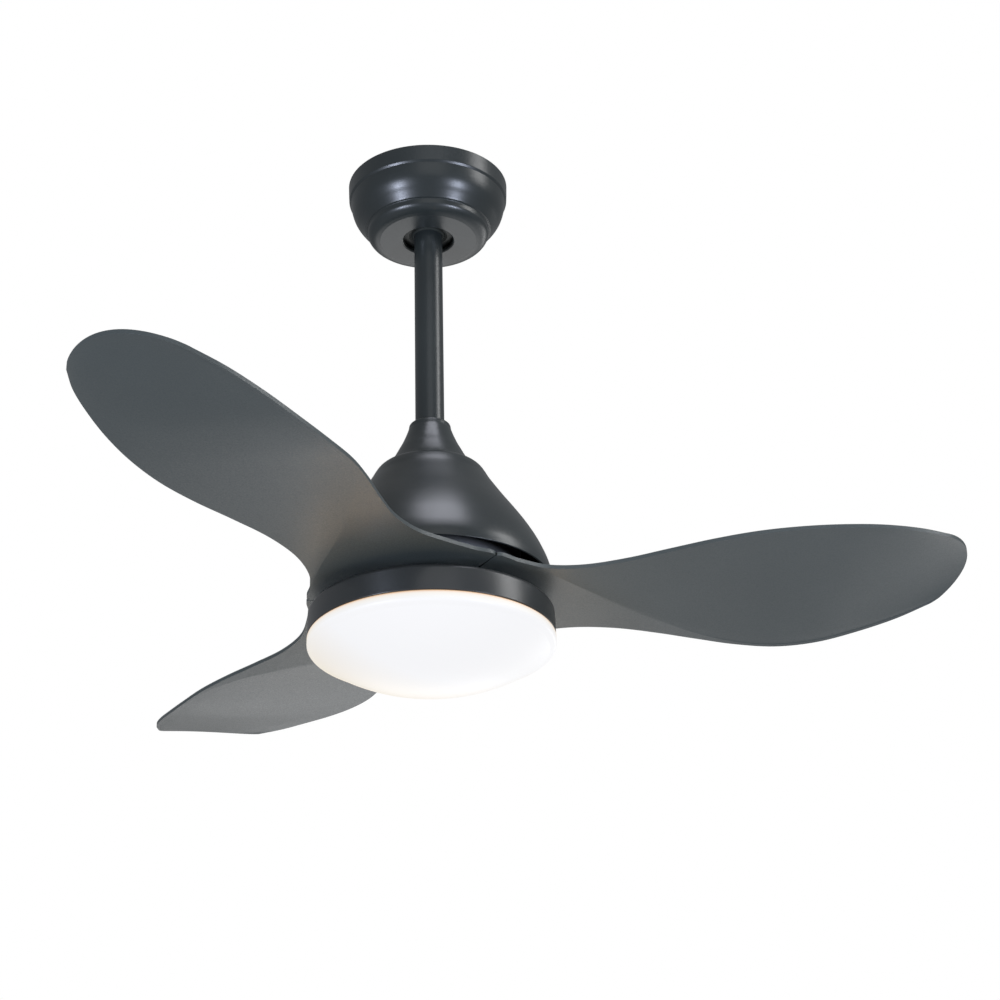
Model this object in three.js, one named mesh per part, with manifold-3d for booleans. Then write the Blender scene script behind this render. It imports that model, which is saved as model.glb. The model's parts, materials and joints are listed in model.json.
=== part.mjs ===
// Three-blade ceiling fan with a round light: hanger bracket, downrod, motor and light kit.
// Millimetres, +Z up. The origin is on the fan's axis, in the plane of the ceiling.
import * as THREE from 'three';
import { mergeVertices } from 'three/addons/utils/BufferGeometryUtils.js';
import Module from 'manifold-3d';

const wasm = await Module();
wasm.setup();

// ---------------------------------------------------------------- driving dimensions
const LIGHT_DROP = 470.8;          // ceiling to the lower edge of the light's ring
const TIP_RADIUS = 483.6;          // blade sweep of 967 mm, a 38 inch fan
const BLADE_COUNT = 3;
const BLADE_PARK_ANGLE = 0.8;      // degrees from +X to the first blade's centre line
const BLADE_THICKNESS = 3.5;
const BLADE_BORE = 24;             // hole left round the shaft where the three roots meet
const ROOT_RADIUS = 109;           // outer end of the seam between two blade roots
const SEAM_GAP = 1.6;              // between two blade roots
const GAP = 0.3;                   // clearance between pieces that touch

const WIDE = 30;                   // facets round the covers, the ring and the rotor
const MIDDLE = 18;                 // facets round the rod, ball and bearings
const SMALL = 6;                   // facets round screws and their holes

const ROD_RADIUS = 13.35;          // 3/4 inch pipe
const ROD_WALL = 1.6;
const ROD_TOP = -12;
const ROD_FOOT_HEIGHT = 135;       // heights are measured up from the ring's lower edge
const BALL_CENTRE = -38;
const BALL_RADIUS = 22;
const BALL_TOP = -22;
const BALL_PIN_LEVEL = -25;
const BALL_PIN_RADIUS = 3;

const CANOPY_TOP = -0.5;
const CANOPY_FLOOR = -59.1;
const CANOPY_WALL = 1.5;
const CANOPY_RADIUS = 76.1;
const CANOPY_HOLE = 23.8;
const CANOPY_SCREW_LEVEL = -9;
const CANOPY_SCREW_ANGLES = [25, 155];

const RING_RADIUS = 109.8;
const DIFFUSER_RADIUS = 110.2;
const RING_HEIGHT = 24.9;
const SHAFT_RADIUS = 8.5;
const SHAFT_BORE = 5;
const SHAFT_HEIGHTS = [17.6, 131];
const BEARING_RADIUS = 17.7;
const BEARING_HEIGHT = 8;
const BEARING_FEET = { lower: 44, upper: 84 };
const BEARING_BALL_COUNT = 7;
const STATOR_HEIGHTS = [56, 80];
const STATOR_RADIUS = 70;
const STATOR_TEETH = 9;
const COVER_SCREW_RADIUS = 27;
const LIGHT_SCREW_RADIUS = 45;
const TRAY_SCREW_RADIUS = 80;
const BLADE_SCREWS = [[70, -35], [70, 35], [40, 0]];   // radius and angle from the centre line

// ---------------------------------------------------------------- finishes
const finish = (color, roughness, metalness) =>
  new THREE.MeshStandardMaterial({ color, roughness, metalness });
const graphite = finish('#45494d', 0.45, 0.3);
const bladePlastic = finish('#565b5f', 0.6, 0.0);
const zincSteel = finish('#a9adb0', 0.35, 0.9);
const castAlloy = finish('#8b8e90', 0.5, 0.8);
const motorSteel = finish('#70747a', 0.45, 0.8);
const copper = finish('#a5582c', 0.4, 0.8);
const magnet = finish('#33363a', 0.6, 0.3);
const nylon = finish('#d9d7cf', 0.5, 0.0);
const darkNylon = finish('#4a4d4b', 0.5, 0.0);
const blackPlastic = finish('#202326', 0.5, 0.0);
const boardWhite = finish('#eceae4', 0.5, 0.0);
const opal = finish('#f7f6f2', 0.4, 0.0);

// ---------------------------------------------------------------- scene graph
const fan = new THREE.Group();
const head = new THREE.Group();    // everything measured up from the ring's lower edge
head.position.z = -LIGHT_DROP;
fan.add(head);

function add(parent, name, geometry, material) {
  const mesh = new THREE.Mesh(geometry, material);
  mesh.name = name;
  parent.add(mesh);
  return mesh;
}

// ---------------------------------------------------------------- solids and booleans
function signedVolume(positions, index) {
  const a = new THREE.Vector3();
  const b = new THREE.Vector3();
  const c = new THREE.Vector3();
  let total = 0;
  for (let i = 0; i < index.length; i += 3) {
    a.fromBufferAttribute(positions, index[i]);
    b.fromBufferAttribute(positions, index[i + 1]);
    c.fromBufferAttribute(positions, index[i + 2]);
    total += a.dot(b.cross(c)) / 6;
  }
  return total;
}

// Shared vertices merged, zero-size triangles dropped and every face pointing out.
function closed(geometry) {
  const bare = geometry.index ? geometry.clone() : geometry;
  bare.deleteAttribute('normal');
  bare.deleteAttribute('uv');
  const merged = mergeVertices(bare, 1e-4);
  const kept = [];
  const index = merged.index.array;
  for (let i = 0; i < index.length; i += 3) {
    const [a, b, c] = [index[i], index[i + 1], index[i + 2]];
    if (a !== b && b !== c && c !== a) kept.push(a, b, c);
  }
  if (signedVolume(merged.attributes.position, kept) < 0) kept.reverse();
  merged.setIndex(kept);
  return merged;
}

function toSolid(geometry) {
  const shell = closed(geometry);
  return new wasm.Manifold(new wasm.Mesh({
    numProp: 3,
    vertProperties: new Float32Array(shell.attributes.position.array),
    triVerts: new Uint32Array(shell.index.array),
  }));
}

function toGeometry(solid) {
  const mesh = solid.getMesh();
  const geometry = new THREE.BufferGeometry();
  geometry.setAttribute('position', new THREE.BufferAttribute(mesh.vertProperties, 3));
  geometry.setIndex(new THREE.BufferAttribute(mesh.triVerts, 1));
  return geometry;
}

const cut = (base, ...tools) =>
  toGeometry(tools.reduce((solid, tool) => solid.subtract(toSolid(tool)), toSolid(base)));
const join = (base, ...others) =>
  toGeometry(others.reduce((solid, other) => solid.add(toSolid(other)), toSolid(base)));

// ---------------------------------------------------------------- basic shapes
// A closed profile of [radius, height] points turned round the Z axis.
function turned(profile, segments) {
  const points = profile.map(([radius, height]) => new THREE.Vector2(radius, height));
  const last = points[points.length - 1];
  const onAxis = points[0].x === 0 && last.x === 0;
  if (!onAxis) points.push(points[0].clone());
  return closed(new THREE.LatheGeometry(points, segments).rotateX(Math.PI / 2));
}

const sleeve = (outer, inner, low, high, segments) =>
  turned([[inner, low], [outer, low], [outer, high], [inner, high]], segments);
const disc = (radius, low, high, segments) =>
  turned([[0, low], [radius, low], [radius, high], [0, high]], segments);

// A box given by its lowest and highest corners.
function block([x0, y0, z0], [x1, y1, z1]) {
  const box = new THREE.BoxGeometry(x1 - x0, y1 - y0, z1 - z0);
  return box.translate((x0 + x1) / 2, (y0 + y1) / 2, (z0 + z1) / 2);
}

// A solid rod along X, through (0, 0, level).
function crossRod(radius, from, to, level, segments) {
  const rod = new THREE.CylinderGeometry(radius, radius, to - from, segments);
  return rod.rotateZ(Math.PI / 2).translate((from + to) / 2, 0, level);
}

const radians = THREE.MathUtils.degToRad;
const turnedBy = (geometry, degrees) => geometry.rotateZ(radians(degrees));

// Points along an arc in a profile, from one angle to another about [radius, height].
function arc([centreR, centreH], radius, fromDegrees, toDegrees, steps) {
  return Array.from({ length: steps + 1 }, (unused, i) => {
    const angle = radians(fromDegrees + (toDegrees - fromDegrees) * i / steps);
    return [centreR + radius * Math.cos(angle), centreH + radius * Math.sin(angle)];
  });
}

// A pan-head screw standing on its shank: the shank ends at 0, the head is on top.
function screwGeometry(shankRadius, shankLength, headRadius, headHeight) {
  const top = shankLength + headHeight;
  return turned([
    [0, 0], [shankRadius, 0], [shankRadius, shankLength], [headRadius, shankLength],
    [headRadius - headHeight * 0.4, top], [0, top],
  ], SMALL);
}

// Rods of one radius standing at [radius, angle] places, for screw holes.
const holeTools = (places, radius, low, high) => places.map(([r, angle]) =>
  turnedBy(disc(radius, low, high, SMALL).translate(r, 0, 0), angle));
const spread = (radius, count, first = 0) =>
  Array.from({ length: count }, (unused, i) => [radius, first + i * 360 / count]);

// ---------------------------------------------------------------- ceiling bracket
function makeBracket() {
  const plateThickness = 2.5;
  const plateHalfWidth = 22;
  const armOuter = 36.5;
  const armFoot = -54;
  const armHalfWidth = 10;
  const earInner = 67;
  const earHalfWidth = 12;
  const earFoot = -17;
  const slotHalfWidth = 2.5;
  const cradleRadius = 24.2;
  const plate = block([-earInner, -plateHalfWidth, -plateThickness], [earInner, plateHalfWidth, 0]);
  const shelf = block([-34, plateHalfWidth - 2, -plateThickness], [34, 60, 0]);
  const arms = [0, 180].map((angle) => turnedBy(block(
    [armOuter - plateThickness, -armHalfWidth, armFoot], [armOuter, armHalfWidth, -1],
  ), angle));
  const ears = CANOPY_SCREW_ANGLES.flatMap((angle) => [
    turnedBy(block([earInner - 1, -earHalfWidth, earFoot], [earInner + 1.5, earHalfWidth, 0]), angle),
    turnedBy(block([30, -earHalfWidth, -plateThickness], [earInner, earHalfWidth, 0]), angle),
  ]);
  const cradle = turned([
    ...arc([0, BALL_CENTRE], cradleRadius, -41, -10, 4), [armOuter - 1, -43], [armOuter - 1, armFoot],
  ], WIDE);
  const earSlots = CANOPY_SCREW_ANGLES.flatMap((angle) => [
    turnedBy(crossRod(slotHalfWidth, earInner - 4, earInner + 4, CANOPY_SCREW_LEVEL, SMALL), angle),
    turnedBy(block(
      [earInner - 4, -slotHalfWidth, earFoot - 3], [earInner + 4, slotHalfWidth, CANOPY_SCREW_LEVEL],
    ), angle),
  ]);
  const loadingSlot = block([-15, -40, -56], [15, 0, -40]);
  const fixingSlots = [-52, 52].map((x) => block([x - 7, -2.6, -4], [x + 7, 2.6, 1]));
  const wireHole = turned([[0, -4], [7, -4], [7, 1], [0, 1]], 12).translate(0, -13, 0);
  const body = join(plate, shelf, ...arms, ...ears, cradle);
  return cut(body, loadingSlot, wireHole, ...earSlots, ...fixingSlots);
}

add(fan, 'ceiling_bracket', makeBracket(), zincSteel);
add(fan, 'receiver', block([-32, 36, -26], [32, 57, -2.5 - GAP]), blackPlastic);
add(fan, 'terminal_block', block([-31, -20, -15], [-14, -8, -2.5 - GAP]), nylon);

// ---------------------------------------------------------------- ball joint
const seatBand = { inner: BALL_RADIUS + GAP, outer: 23.9 };
add(fan, 'ball_seat', turned([
  ...arc([0, BALL_CENTRE], seatBand.inner, -43, -12, 3),
  ...arc([0, BALL_CENTRE], seatBand.outer, -12, -41, 3),
], WIDE), darkNylon);

function makeBall() {
  const footAngle = -50;
  const topAngle = THREE.MathUtils.radToDeg(Math.asin((BALL_TOP - BALL_CENTRE) / BALL_RADIUS));
  const bore = ROD_RADIUS + GAP;
  const outside = arc([0, BALL_CENTRE], BALL_RADIUS, footAngle, topAngle, 7);
  const body = turned([[bore, outside[0][1]], ...outside, [bore, BALL_TOP]], WIDE);
  const groove = crossRod(BALL_PIN_RADIUS + GAP, -30, 30, BALL_PIN_LEVEL, 12);
  const grooveMouth = block([-30, -BALL_PIN_RADIUS - GAP, BALL_PIN_LEVEL],
    [30, BALL_PIN_RADIUS + GAP, 0]);
  return cut(body, groove, grooveMouth);
}
add(fan, 'hanger_ball', makeBall(), darkNylon);
add(fan, 'ball_pin', crossRod(BALL_PIN_RADIUS, -16.5, 16.5, BALL_PIN_LEVEL, 12), zincSteel);

// ---------------------------------------------------------------- downrod
const CLEVIS_HEIGHT = 150;
const CLEVIS_RADIUS = 3.5;
const SET_SCREW_HEIGHT = 180;
add(fan, 'downrod', cut(
  sleeve(ROD_RADIUS, ROD_RADIUS - ROD_WALL, ROD_FOOT_HEIGHT - LIGHT_DROP, ROD_TOP, MIDDLE),
  crossRod(BALL_PIN_RADIUS + GAP, -20, 20, BALL_PIN_LEVEL, 12),
  crossRod(CLEVIS_RADIUS + GAP, -20, 20, CLEVIS_HEIGHT - LIGHT_DROP, 12),
), graphite);

// ---------------------------------------------------------------- wires inside the rod
function sweptTube(points, radius, sides, steps) {
  const section = new THREE.Shape(Array.from({ length: sides }, (unused, i) => {
    const angle = i / sides * Math.PI * 2;
    return new THREE.Vector2(radius * Math.cos(angle), radius * Math.sin(angle));
  }));
  const route = new THREE.CatmullRomCurve3(points.map((p) => new THREE.Vector3(...p)));
  return closed(new THREE.ExtrudeGeometry(section, { steps, bevelEnabled: false, extrudePath: route }));
}
const harnessFoot = 13 - LIGHT_DROP;
add(fan, 'wire_harness', sweptTube([
  [0, 20, -14.5], [0, 18, -14.2], [0, 12.5, -9], [0, 6, -8], [0, 3.4, -14], [0, 5.8, -21.5],
  [0, 6.8, -32],
  [0, 6, -60], [0, 6, -290], [0, 7, -307.5], [0, 7.2, -320.5], [0, 5.4, -329.5], [0, 2.4, -338.5],
  [0, 0.3, -347.5],
  [0, 0, harnessFoot + 12], [2, 0, harnessFoot + 3], [14, 0, harnessFoot - 0.5], [24, 0, harnessFoot],
], 1.9, 6, 44), blackPlastic);
add(fan, 'harness_plug', block([-4.5, 20.3, -18.5], [4.5, 31, -11]), nylon);

// ---------------------------------------------------------------- canopy
function makeCanopy() {
  const skin = [
    [44.5, CANOPY_FLOOR], [54.2, -56.2], [57.9, -52], [58.6, -48.1], [64.8, -40.9],
    [70.6, -31.7], [73.4, -22.3], [75.2, -18.5], [CANOPY_RADIUS, CANOPY_TOP],
  ];
  const lining = [
    [44.5, CANOPY_FLOOR + CANOPY_WALL], [55.4, -52], [57.8, -46.3], [68.8, -31.5], [72, -18.9],
    [CANOPY_RADIUS - CANOPY_WALL, CANOPY_TOP],
  ];
  const lipTop = CANOPY_FLOOR + 3.5;
  const lipOuter = CANOPY_HOLE + CANOPY_WALL;
  const lip = [[CANOPY_HOLE, lipTop], [CANOPY_HOLE, CANOPY_FLOOR]];
  const lipBack = [[lipOuter, CANOPY_FLOOR + CANOPY_WALL], [lipOuter, lipTop]];
  const shell = turned([...lip, ...skin, ...lining.reverse(), ...lipBack], WIDE);
  const holes = CANOPY_SCREW_ANGLES.map((angle) =>
    turnedBy(crossRod(2.5, 60, 90, CANOPY_SCREW_LEVEL, SMALL), angle));
  return cut(shell, ...holes);
}
add(fan, 'canopy', makeCanopy(), graphite);

CANOPY_SCREW_ANGLES.forEach((angle, i) => {
  const screw = screwGeometry(2, 12, 4, 1.8).translate(0, 0, -12).rotateY(Math.PI / 2);
  const inWall = screw.translate(CANOPY_RADIUS + 0.1, 0, CANOPY_SCREW_LEVEL);
  add(fan, `canopy_screw_${i + 1}`, turnedBy(inWall, angle), graphite);
});

// ---------------------------------------------------------------- rod coupling
function makeCoupling() {
  const outer = 18.5;
  const body = turned([
    [SHAFT_RADIUS + GAP, 97], [outer, 97], [outer, 158.8], [34, 158.8], [34, 162.8], [outer, 162.8],
    [outer, 192], [ROD_RADIUS + GAP, 192], [ROD_RADIUS + GAP, 134.5], [SHAFT_RADIUS + GAP, 131.5],
  ], MIDDLE);
  const pinHole = crossRod(CLEVIS_RADIUS + GAP, -30, 30, CLEVIS_HEIGHT, 12);
  const setScrewHoles = [90, 270].map((angle) =>
    turnedBy(crossRod(3 + GAP, 10, 30, SET_SCREW_HEIGHT, SMALL), angle));
  const coverScrewHoles = holeTools(spread(COVER_SCREW_RADIUS, 3, 30), 2.2, 158, 167);
  return cut(body, pinHole, ...setScrewHoles, ...coverScrewHoles);
}
add(head, 'rod_coupling', makeCoupling(), castAlloy);
add(head, 'clevis_pin', cut(
  join(crossRod(CLEVIS_RADIUS, -25.5, 20, CLEVIS_HEIGHT, 12), crossRod(5.5, 19, 22, CLEVIS_HEIGHT, 12)),
  turnedBy(crossRod(1.3, -10, 10, 0, 8), 90).translate(-22, 0, CLEVIS_HEIGHT),
), zincSteel);

// The clip is a wire hairpin: one leg through the pin's hole, the other sprung round its outside.
add(head, 'hairpin_clip', sweptTube([
  [-22, -9, 150], [-22, 0, 150], [-22, 9, 150], [-22, 13, 151.6], [-22, 14.5, 154.4], [-22, 12, 157.2],
  [-22, 6, 155.4], [-22, 0, 155], [-22, -7, 156.2],
], 0.9, 6, 20), zincSteel);
[90, 270].forEach((angle, i) => {
  const screw = crossRod(3, ROD_RADIUS + GAP, 20.6, SET_SCREW_HEIGHT, SMALL);
  add(head, `coupling_set_screw_${i + 1}`, turnedBy(screw, angle), zincSteel);
});

// ---------------------------------------------------------------- covers over coupling and motor
function makeCouplingCover() {
  const bore = ROD_RADIUS + 0.4;
  return turned([
    [39.4, 166.8], [32.5, 178.4], [29, 185.2], [25.7, 192.2], [21.4, 202.2], [18.8, 209.4],
    [16.4, 212], [bore, 212.5], [bore, 209.8], [17.1, 207.2], [22.4, 195], [29.7, 180], [37.3, 166.8],
  ], WIDE);
}
add(head, 'coupling_cover', makeCouplingCover(), graphite);

function makeBell() {
  const shell = turned([
    [108, 51.8], [107.7, 58.5], [105, 69.5], [100.4, 81], [93.4, 94.3], [84.2, 108.6], [64.4, 137],
    [50.6, 159.2], [46.6, 163.8], [40.5, 166.2], [21, 166.5],
    [21, 164.9], [39.6, 164.6], [44.8, 162.2], [49, 157.6], [62.6, 136.4], [82.6, 107.6], [98.6, 80.2],
    [105.8, 58], [106.2, 51.8],
  ], WIDE);
  return cut(shell, ...holeTools(spread(COVER_SCREW_RADIUS, 3, 30), 2.2, 155, 170));
}
add(head, 'motor_cover', makeBell(), graphite);
spread(COVER_SCREW_RADIUS, 3, 30).forEach(([radius, angle], i) => {
  const screw = screwGeometry(1.9, 6, 3.6, 1.8).translate(radius, 0, 166.8 - 6);
  add(head, `motor_cover_screw_${i + 1}`, turnedBy(screw, angle), zincSteel);
});

// ---------------------------------------------------------------- motor
function makeStatorCore() {
  const hub = sleeve(30, SHAFT_RADIUS + GAP, ...STATOR_HEIGHTS, MIDDLE);
  const teeth = spread(0, STATOR_TEETH).map(([unused, angle]) =>
    turnedBy(block([28, -4, STATOR_HEIGHTS[0]], [66, 4, STATOR_HEIGHTS[1]]), angle));
  const rim = sleeve(STATOR_RADIUS, 64, ...STATOR_HEIGHTS, WIDE);
  const slots = spread(0, STATOR_TEETH, 180 / STATOR_TEETH).map(([unused, angle]) =>
    turnedBy(block([60, -2, STATOR_HEIGHTS[0] - 1], [74, 2, STATOR_HEIGHTS[1] + 1]), angle));
  return cut(join(hub, rim, ...teeth), ...slots);
}
function makeWinding() {
  const endTurn = 4.5;
  const [low, high] = STATOR_HEIGHTS;
  const bundle = sleeve(60, 34, low - endTurn, high + endTurn, WIDE);
  const teeth = spread(0, STATOR_TEETH).map(([unused, angle]) =>
    turnedBy(block([20, -4 - GAP, low - GAP], [70, 4 + GAP, high + GAP]), angle));
  return cut(bundle, ...teeth);
}
add(head, 'motor_shaft', cut(sleeve(SHAFT_RADIUS, SHAFT_BORE, ...SHAFT_HEIGHTS, MIDDLE),
  sleeve(SHAFT_RADIUS + 1, 7.6, 93.6, 94.8, MIDDLE)), motorSteel);
add(head, 'stator_core', makeStatorCore(), motorSteel);
add(head, 'stator_winding', makeWinding(), copper);
add(head, 'magnet_ring', sleeve(77, 71.2, 54, 82, WIDE), magnet);
const hubBore = BEARING_RADIUS + GAP;
add(head, 'rotor_upper', turned([
  [hubBore, 84 - GAP], [21.5, 84 - GAP], [21.5, 86.2], [77.5, 86.2], [77.5, 47.2], [80.5, 47.2],
  [80.5, 86.4], [78.5, 88.6], [21.5, 88.6], [21.5, 93], [hubBore, 93],
], WIDE), castAlloy);
add(head, 'rotor_lower', cut(turned([
  [SHAFT_RADIUS + 2, 41.8], [86, 41.8], [86, 46.8], [21.5, 46.8], [21.5, 52.6], [hubBore, 52.6],
  [hubBore, 43.7], [SHAFT_RADIUS + 2, 43.7],
], 32), ...bladeScrewTools(2, 40, 48)), castAlloy);
add(head, 'shaft_circlip', cut(sleeve(11.2, 7.9, 93.8, 94.6, 16),
  block([-1.8, -14, 93], [1.8, 0, 96])), zincSteel);

Object.entries(BEARING_FEET).forEach(([place, foot]) => {
  const top = foot + BEARING_HEIGHT;
  const pitch = 13.25;
  const ballRadius = 2.5;
  const middle = foot + BEARING_HEIGHT / 2;
  const landOffset = 1.56;         // the groove's edges stand this far from the balls' pitch circle
  const groove = (from, to) => arc([pitch, middle], ballRadius + 0.45, from, to, 2);
  const innerRace = [
    [SHAFT_RADIUS + GAP, foot], [pitch - landOffset, foot], ...groove(234, 126),
    [pitch - landOffset, top], [SHAFT_RADIUS + GAP, top],
  ];
  const outerRace = [
    [pitch + landOffset, foot], [BEARING_RADIUS, foot], [BEARING_RADIUS, top], [pitch + landOffset, top],
    ...groove(54, -54),
  ];
  add(head, `bearing_${place}_inner`, turned(innerRace, MIDDLE), motorSteel);
  add(head, `bearing_${place}_outer`, turned(outerRace, MIDDLE), motorSteel);
  const balls = spread(pitch, BEARING_BALL_COUNT).map(([radius, angle]) =>
    turnedBy(new THREE.SphereGeometry(ballRadius, 6, 4).translate(radius, 0, middle), angle));
  const cage = sleeve(pitch + 0.7, pitch - 0.7, middle - 1.2, middle + 1.2, MIDDLE);
  add(head, `bearing_${place}_balls`, join(cage, ...balls), zincSteel);
});

// ---------------------------------------------------------------- blades
// A blade's frame: X along its centre line, Y across it. The outline's two edges and the fold
// between the flat root and the pitched paddle are curves through paired points [x, y, z].
function bladeEdgeCurves() {
  const curve = (points) => new THREE.CatmullRomCurve3(points.map((p) => new THREE.Vector3(...p)));
  const cosine = Math.cos(Math.PI / BLADE_COUNT);
  const sine = Math.sin(Math.PI / BLADE_COUNT);
  const seamPoint = (radius, side) => [
    radius * cosine + SEAM_GAP / 2 * sine, side * (radius * sine - SEAM_GAP / 2 * cosine), 38,
  ];
  const high = curve([
    seamPoint(BLADE_BORE, -1), seamPoint(66, -1), seamPoint(ROOT_RADIUS, -1), [75, -80.4, 38],
    [100, -65.6, 38.8], [132, -58.6, 41.9], [169, -62.4, 46.1], [207, -74, 50.1], [245, -86.4, 53.6],
    [282, -94.5, 56.9], [320, -96.3, 60.3], [358, -92.7, 63.8], [395, -84.7, 67], [430, -73, 68.8],
    [456, -59.5, 69.8],
  ]);
  const low = curve([
    seamPoint(BLADE_BORE, 1), seamPoint(66, 1), seamPoint(ROOT_RADIUS, 1), [75, 84, 37.7],
    [100, 72.2, 37.7], [132, 61.7, 36.7], [169, 61.1, 35.4], [207, 69.5, 34.1], [245, 80.2, 32.3],
    [282, 88.6, 30.1], [320, 91.3, 28.8], [358, 88.3, 31.8], [395, 80.3, 38.8], [430, 68.5, 46.8],
    [458, 53.5, 54.5],
  ]);
  const fold = curve([
    [12, -16, 38], [36, -48, 38], [62, -78, 38], [84, -70, 38], [106, -52, 37.9], [137, -20, 37.5],
    [173, 14, 36.6], [211, 44, 34.7], [248, 69, 32.6], [282, 83, 30.6], [318, 87, 29.4],
    [357, 84, 32.5], [394, 76, 39.5], [430, 63.5, 47.6], [459, 46, 55.5],
  ]);
  return { high, low, fold };
}

function makeBladeShell() {
  const { high, low, fold } = bladeEdgeCurves();
  const stations = 28;
  const columns = 8;
  const foldColumn = 5;
  const tipBulge = TIP_RADIUS - 457;
  const tipLift = 9;
  const geometry = closed(new THREE.BoxGeometry(1, 1, 1, stations, columns, 1));
  const position = geometry.attributes.position;
  const point = new THREE.Vector3();
  for (let i = 0; i < position.count; i += 1) {
    const along = position.getX(i) + 0.5;
    const column = (position.getY(i) + 0.5) * columns;
    const upper = position.getZ(i) > 0;
    const edgeB = high.getPoint(along);
    const edgeA = low.getPoint(along);
    const ridge = fold.getPoint(along);
    if (column <= foldColumn) point.lerpVectors(edgeB, ridge, column / foldColumn);
    else point.lerpVectors(ridge, edgeA, (column - foldColumn) / (columns - foldColumn));
    const across = (point.y - edgeB.y) / (edgeA.y - edgeB.y);
    const crown = Math.max(0, 4 * across * (1 - across));
    const nearTip = THREE.MathUtils.smoothstep(along, 0.8, 1);
    point.x += crown * (BLADE_BORE / 2) * Math.max(0, 1 - along * 7);
    point.x += crown ** 0.85 * tipBulge * nearTip;
    point.z += crown * tipLift * nearTip;
    if (upper) point.z += BLADE_THICKNESS;
    position.setXYZ(i, point.x, point.y, point.z);
  }
  return geometry;
}

// Everything past the two seams, so that neighbouring roots keep the gap between them.
function seamTools() {
  return [-1, 1].map((side) => {
    const nearEdge = -SEAM_GAP / 2;
    const [low, high] = side > 0 ? [nearEdge, 120] : [-120, -nearEdge];
    return turnedBy(block([-60, low, 20], [160, high, 60]), side * 180 / BLADE_COUNT);
  });
}

function bladeScrewTools(radius, low, high) {
  const places = spread(0, BLADE_COUNT, BLADE_PARK_ANGLE).flatMap(([unused, turn]) =>
    BLADE_SCREWS.map(([r, angle]) => [r, turn + angle]));
  return holeTools(places, radius, low, high);
}

for (let blade = 0; blade < BLADE_COUNT; blade += 1) {
  const turn = BLADE_PARK_ANGLE + blade * 360 / BLADE_COUNT;
  const shell = cut(makeBladeShell(), ...seamTools(), ...holeTools(BLADE_SCREWS, 2.4, 30, 50));
  add(head, `blade_${blade + 1}`, turnedBy(shell, turn), bladePlastic);
  BLADE_SCREWS.forEach(([radius, angle], i) => {
    const screw = screwGeometry(1.8, 8.5, 4, 2).rotateX(Math.PI).translate(radius, 0, 46.2);
    add(head, `blade_screw_${blade + 1}_${i + 1}`, turnedBy(screw, turn + angle), zincSteel);
  });
}

// ---------------------------------------------------------------- light kit
add(head, 'light_mounting_plate', cut(turned([
  [SHAFT_RADIUS + GAP, 25.2], [58, 25.2], [58, 27.6], [16, 27.6], [16, 34], [SHAFT_RADIUS + GAP, 34],
], MIDDLE), ...holeTools(spread(LIGHT_SCREW_RADIUS, 3), 2.2, 24, 29)), zincSteel);
const nutBore = disc(SHAFT_RADIUS + GAP, 17, 26, MIDDLE);
add(head, 'shaft_nut', cut(disc(14, 18, 24.9, 6), nutBore), zincSteel);

const LUG_ANGLES = [20, 140, 260];
// Bayonet lugs: the same small block at three places round a ring.
function lugs(inner, outer, low, high, halfWidth) {
  return LUG_ANGLES.map((angle) =>
    turnedBy(block([inner, -halfWidth, low], [outer, halfWidth, high]), angle));
}
function makeLightHousing() {
  const wall = 1.6;
  const shell = turned([
    [RING_RADIUS - wall, 0], [RING_RADIUS, 0], [RING_RADIUS, 18.4], [RING_RADIUS - 0.7, 21.8],
    [RING_RADIUS - 3, 24.2], [RING_RADIUS - 6.5, RING_HEIGHT], [30, RING_HEIGHT], [30, 23.4],
    [RING_RADIUS - 7, 23.4], [RING_RADIUS - 3.4, 21.6], [RING_RADIUS - wall, 17.6],
  ], 48);
  const screwPlaces = [...spread(LIGHT_SCREW_RADIUS, 3), ...spread(TRAY_SCREW_RADIUS, 2, 90)];
  const ledges = lugs(105.6, RING_RADIUS - 1, 1, 3, 7);
  return cut(join(shell, ...ledges), ...holeTools(screwPlaces, 2.3, 22, 26));
}
add(head, 'light_housing', makeLightHousing(), graphite);
spread(LIGHT_SCREW_RADIUS, 3).forEach(([radius, angle], i) => {
  const screw = screwGeometry(1.8, 5.5, 3.6, 2).rotateX(Math.PI).translate(radius, 0, 23.1 + 5.5);
  add(head, `light_housing_screw_${i + 1}`, turnedBy(screw, angle), zincSteel);
});

const TRAY_FACE = 6;
add(head, 'led_tray', cut(turned([
  [0, TRAY_FACE], [97, TRAY_FACE], [98, TRAY_FACE + 1], [98, 23], [96.8, 23], [96.8, TRAY_FACE + 1.2],
  [0, TRAY_FACE + 1.2],
], WIDE), ...holeTools(spread(TRAY_SCREW_RADIUS, 2, 90), 2.3, 4, 9)), boardWhite);

const LED_ROWS = [[28, 6], [52, 10], [72, 12]];   // pitch radius and chips on it
function makeBoard() {
  const board = disc(88, TRAY_FACE - GAP - 1.5, TRAY_FACE - GAP, MIDDLE);
  const chips = LED_ROWS.flatMap(([radius, count]) => spread(radius, count, 7)).map(([radius, angle]) =>
    turnedBy(block([radius - 1.75, -1.75, 3.4], [radius + 1.75, 1.75, 4.4]), angle));
  return cut(join(board, ...chips), ...holeTools(spread(TRAY_SCREW_RADIUS, 2, 90), 2.3, 2, 8));
}
add(head, 'led_board', makeBoard(), boardWhite);
add(head, 'led_driver', block([24 + GAP, -17, TRAY_FACE + 1.2 + GAP], [78, 17, 20]), blackPlastic);
spread(TRAY_SCREW_RADIUS, 2, 90).forEach(([radius, angle], i) => {
  const screw = screwGeometry(1.9, 23, 3.6, 1.6).rotateX(Math.PI).translate(radius, 0, 3.9 + 23);
  add(head, `tray_screw_${i + 1}`, turnedBy(screw, angle), zincSteel);
});

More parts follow.
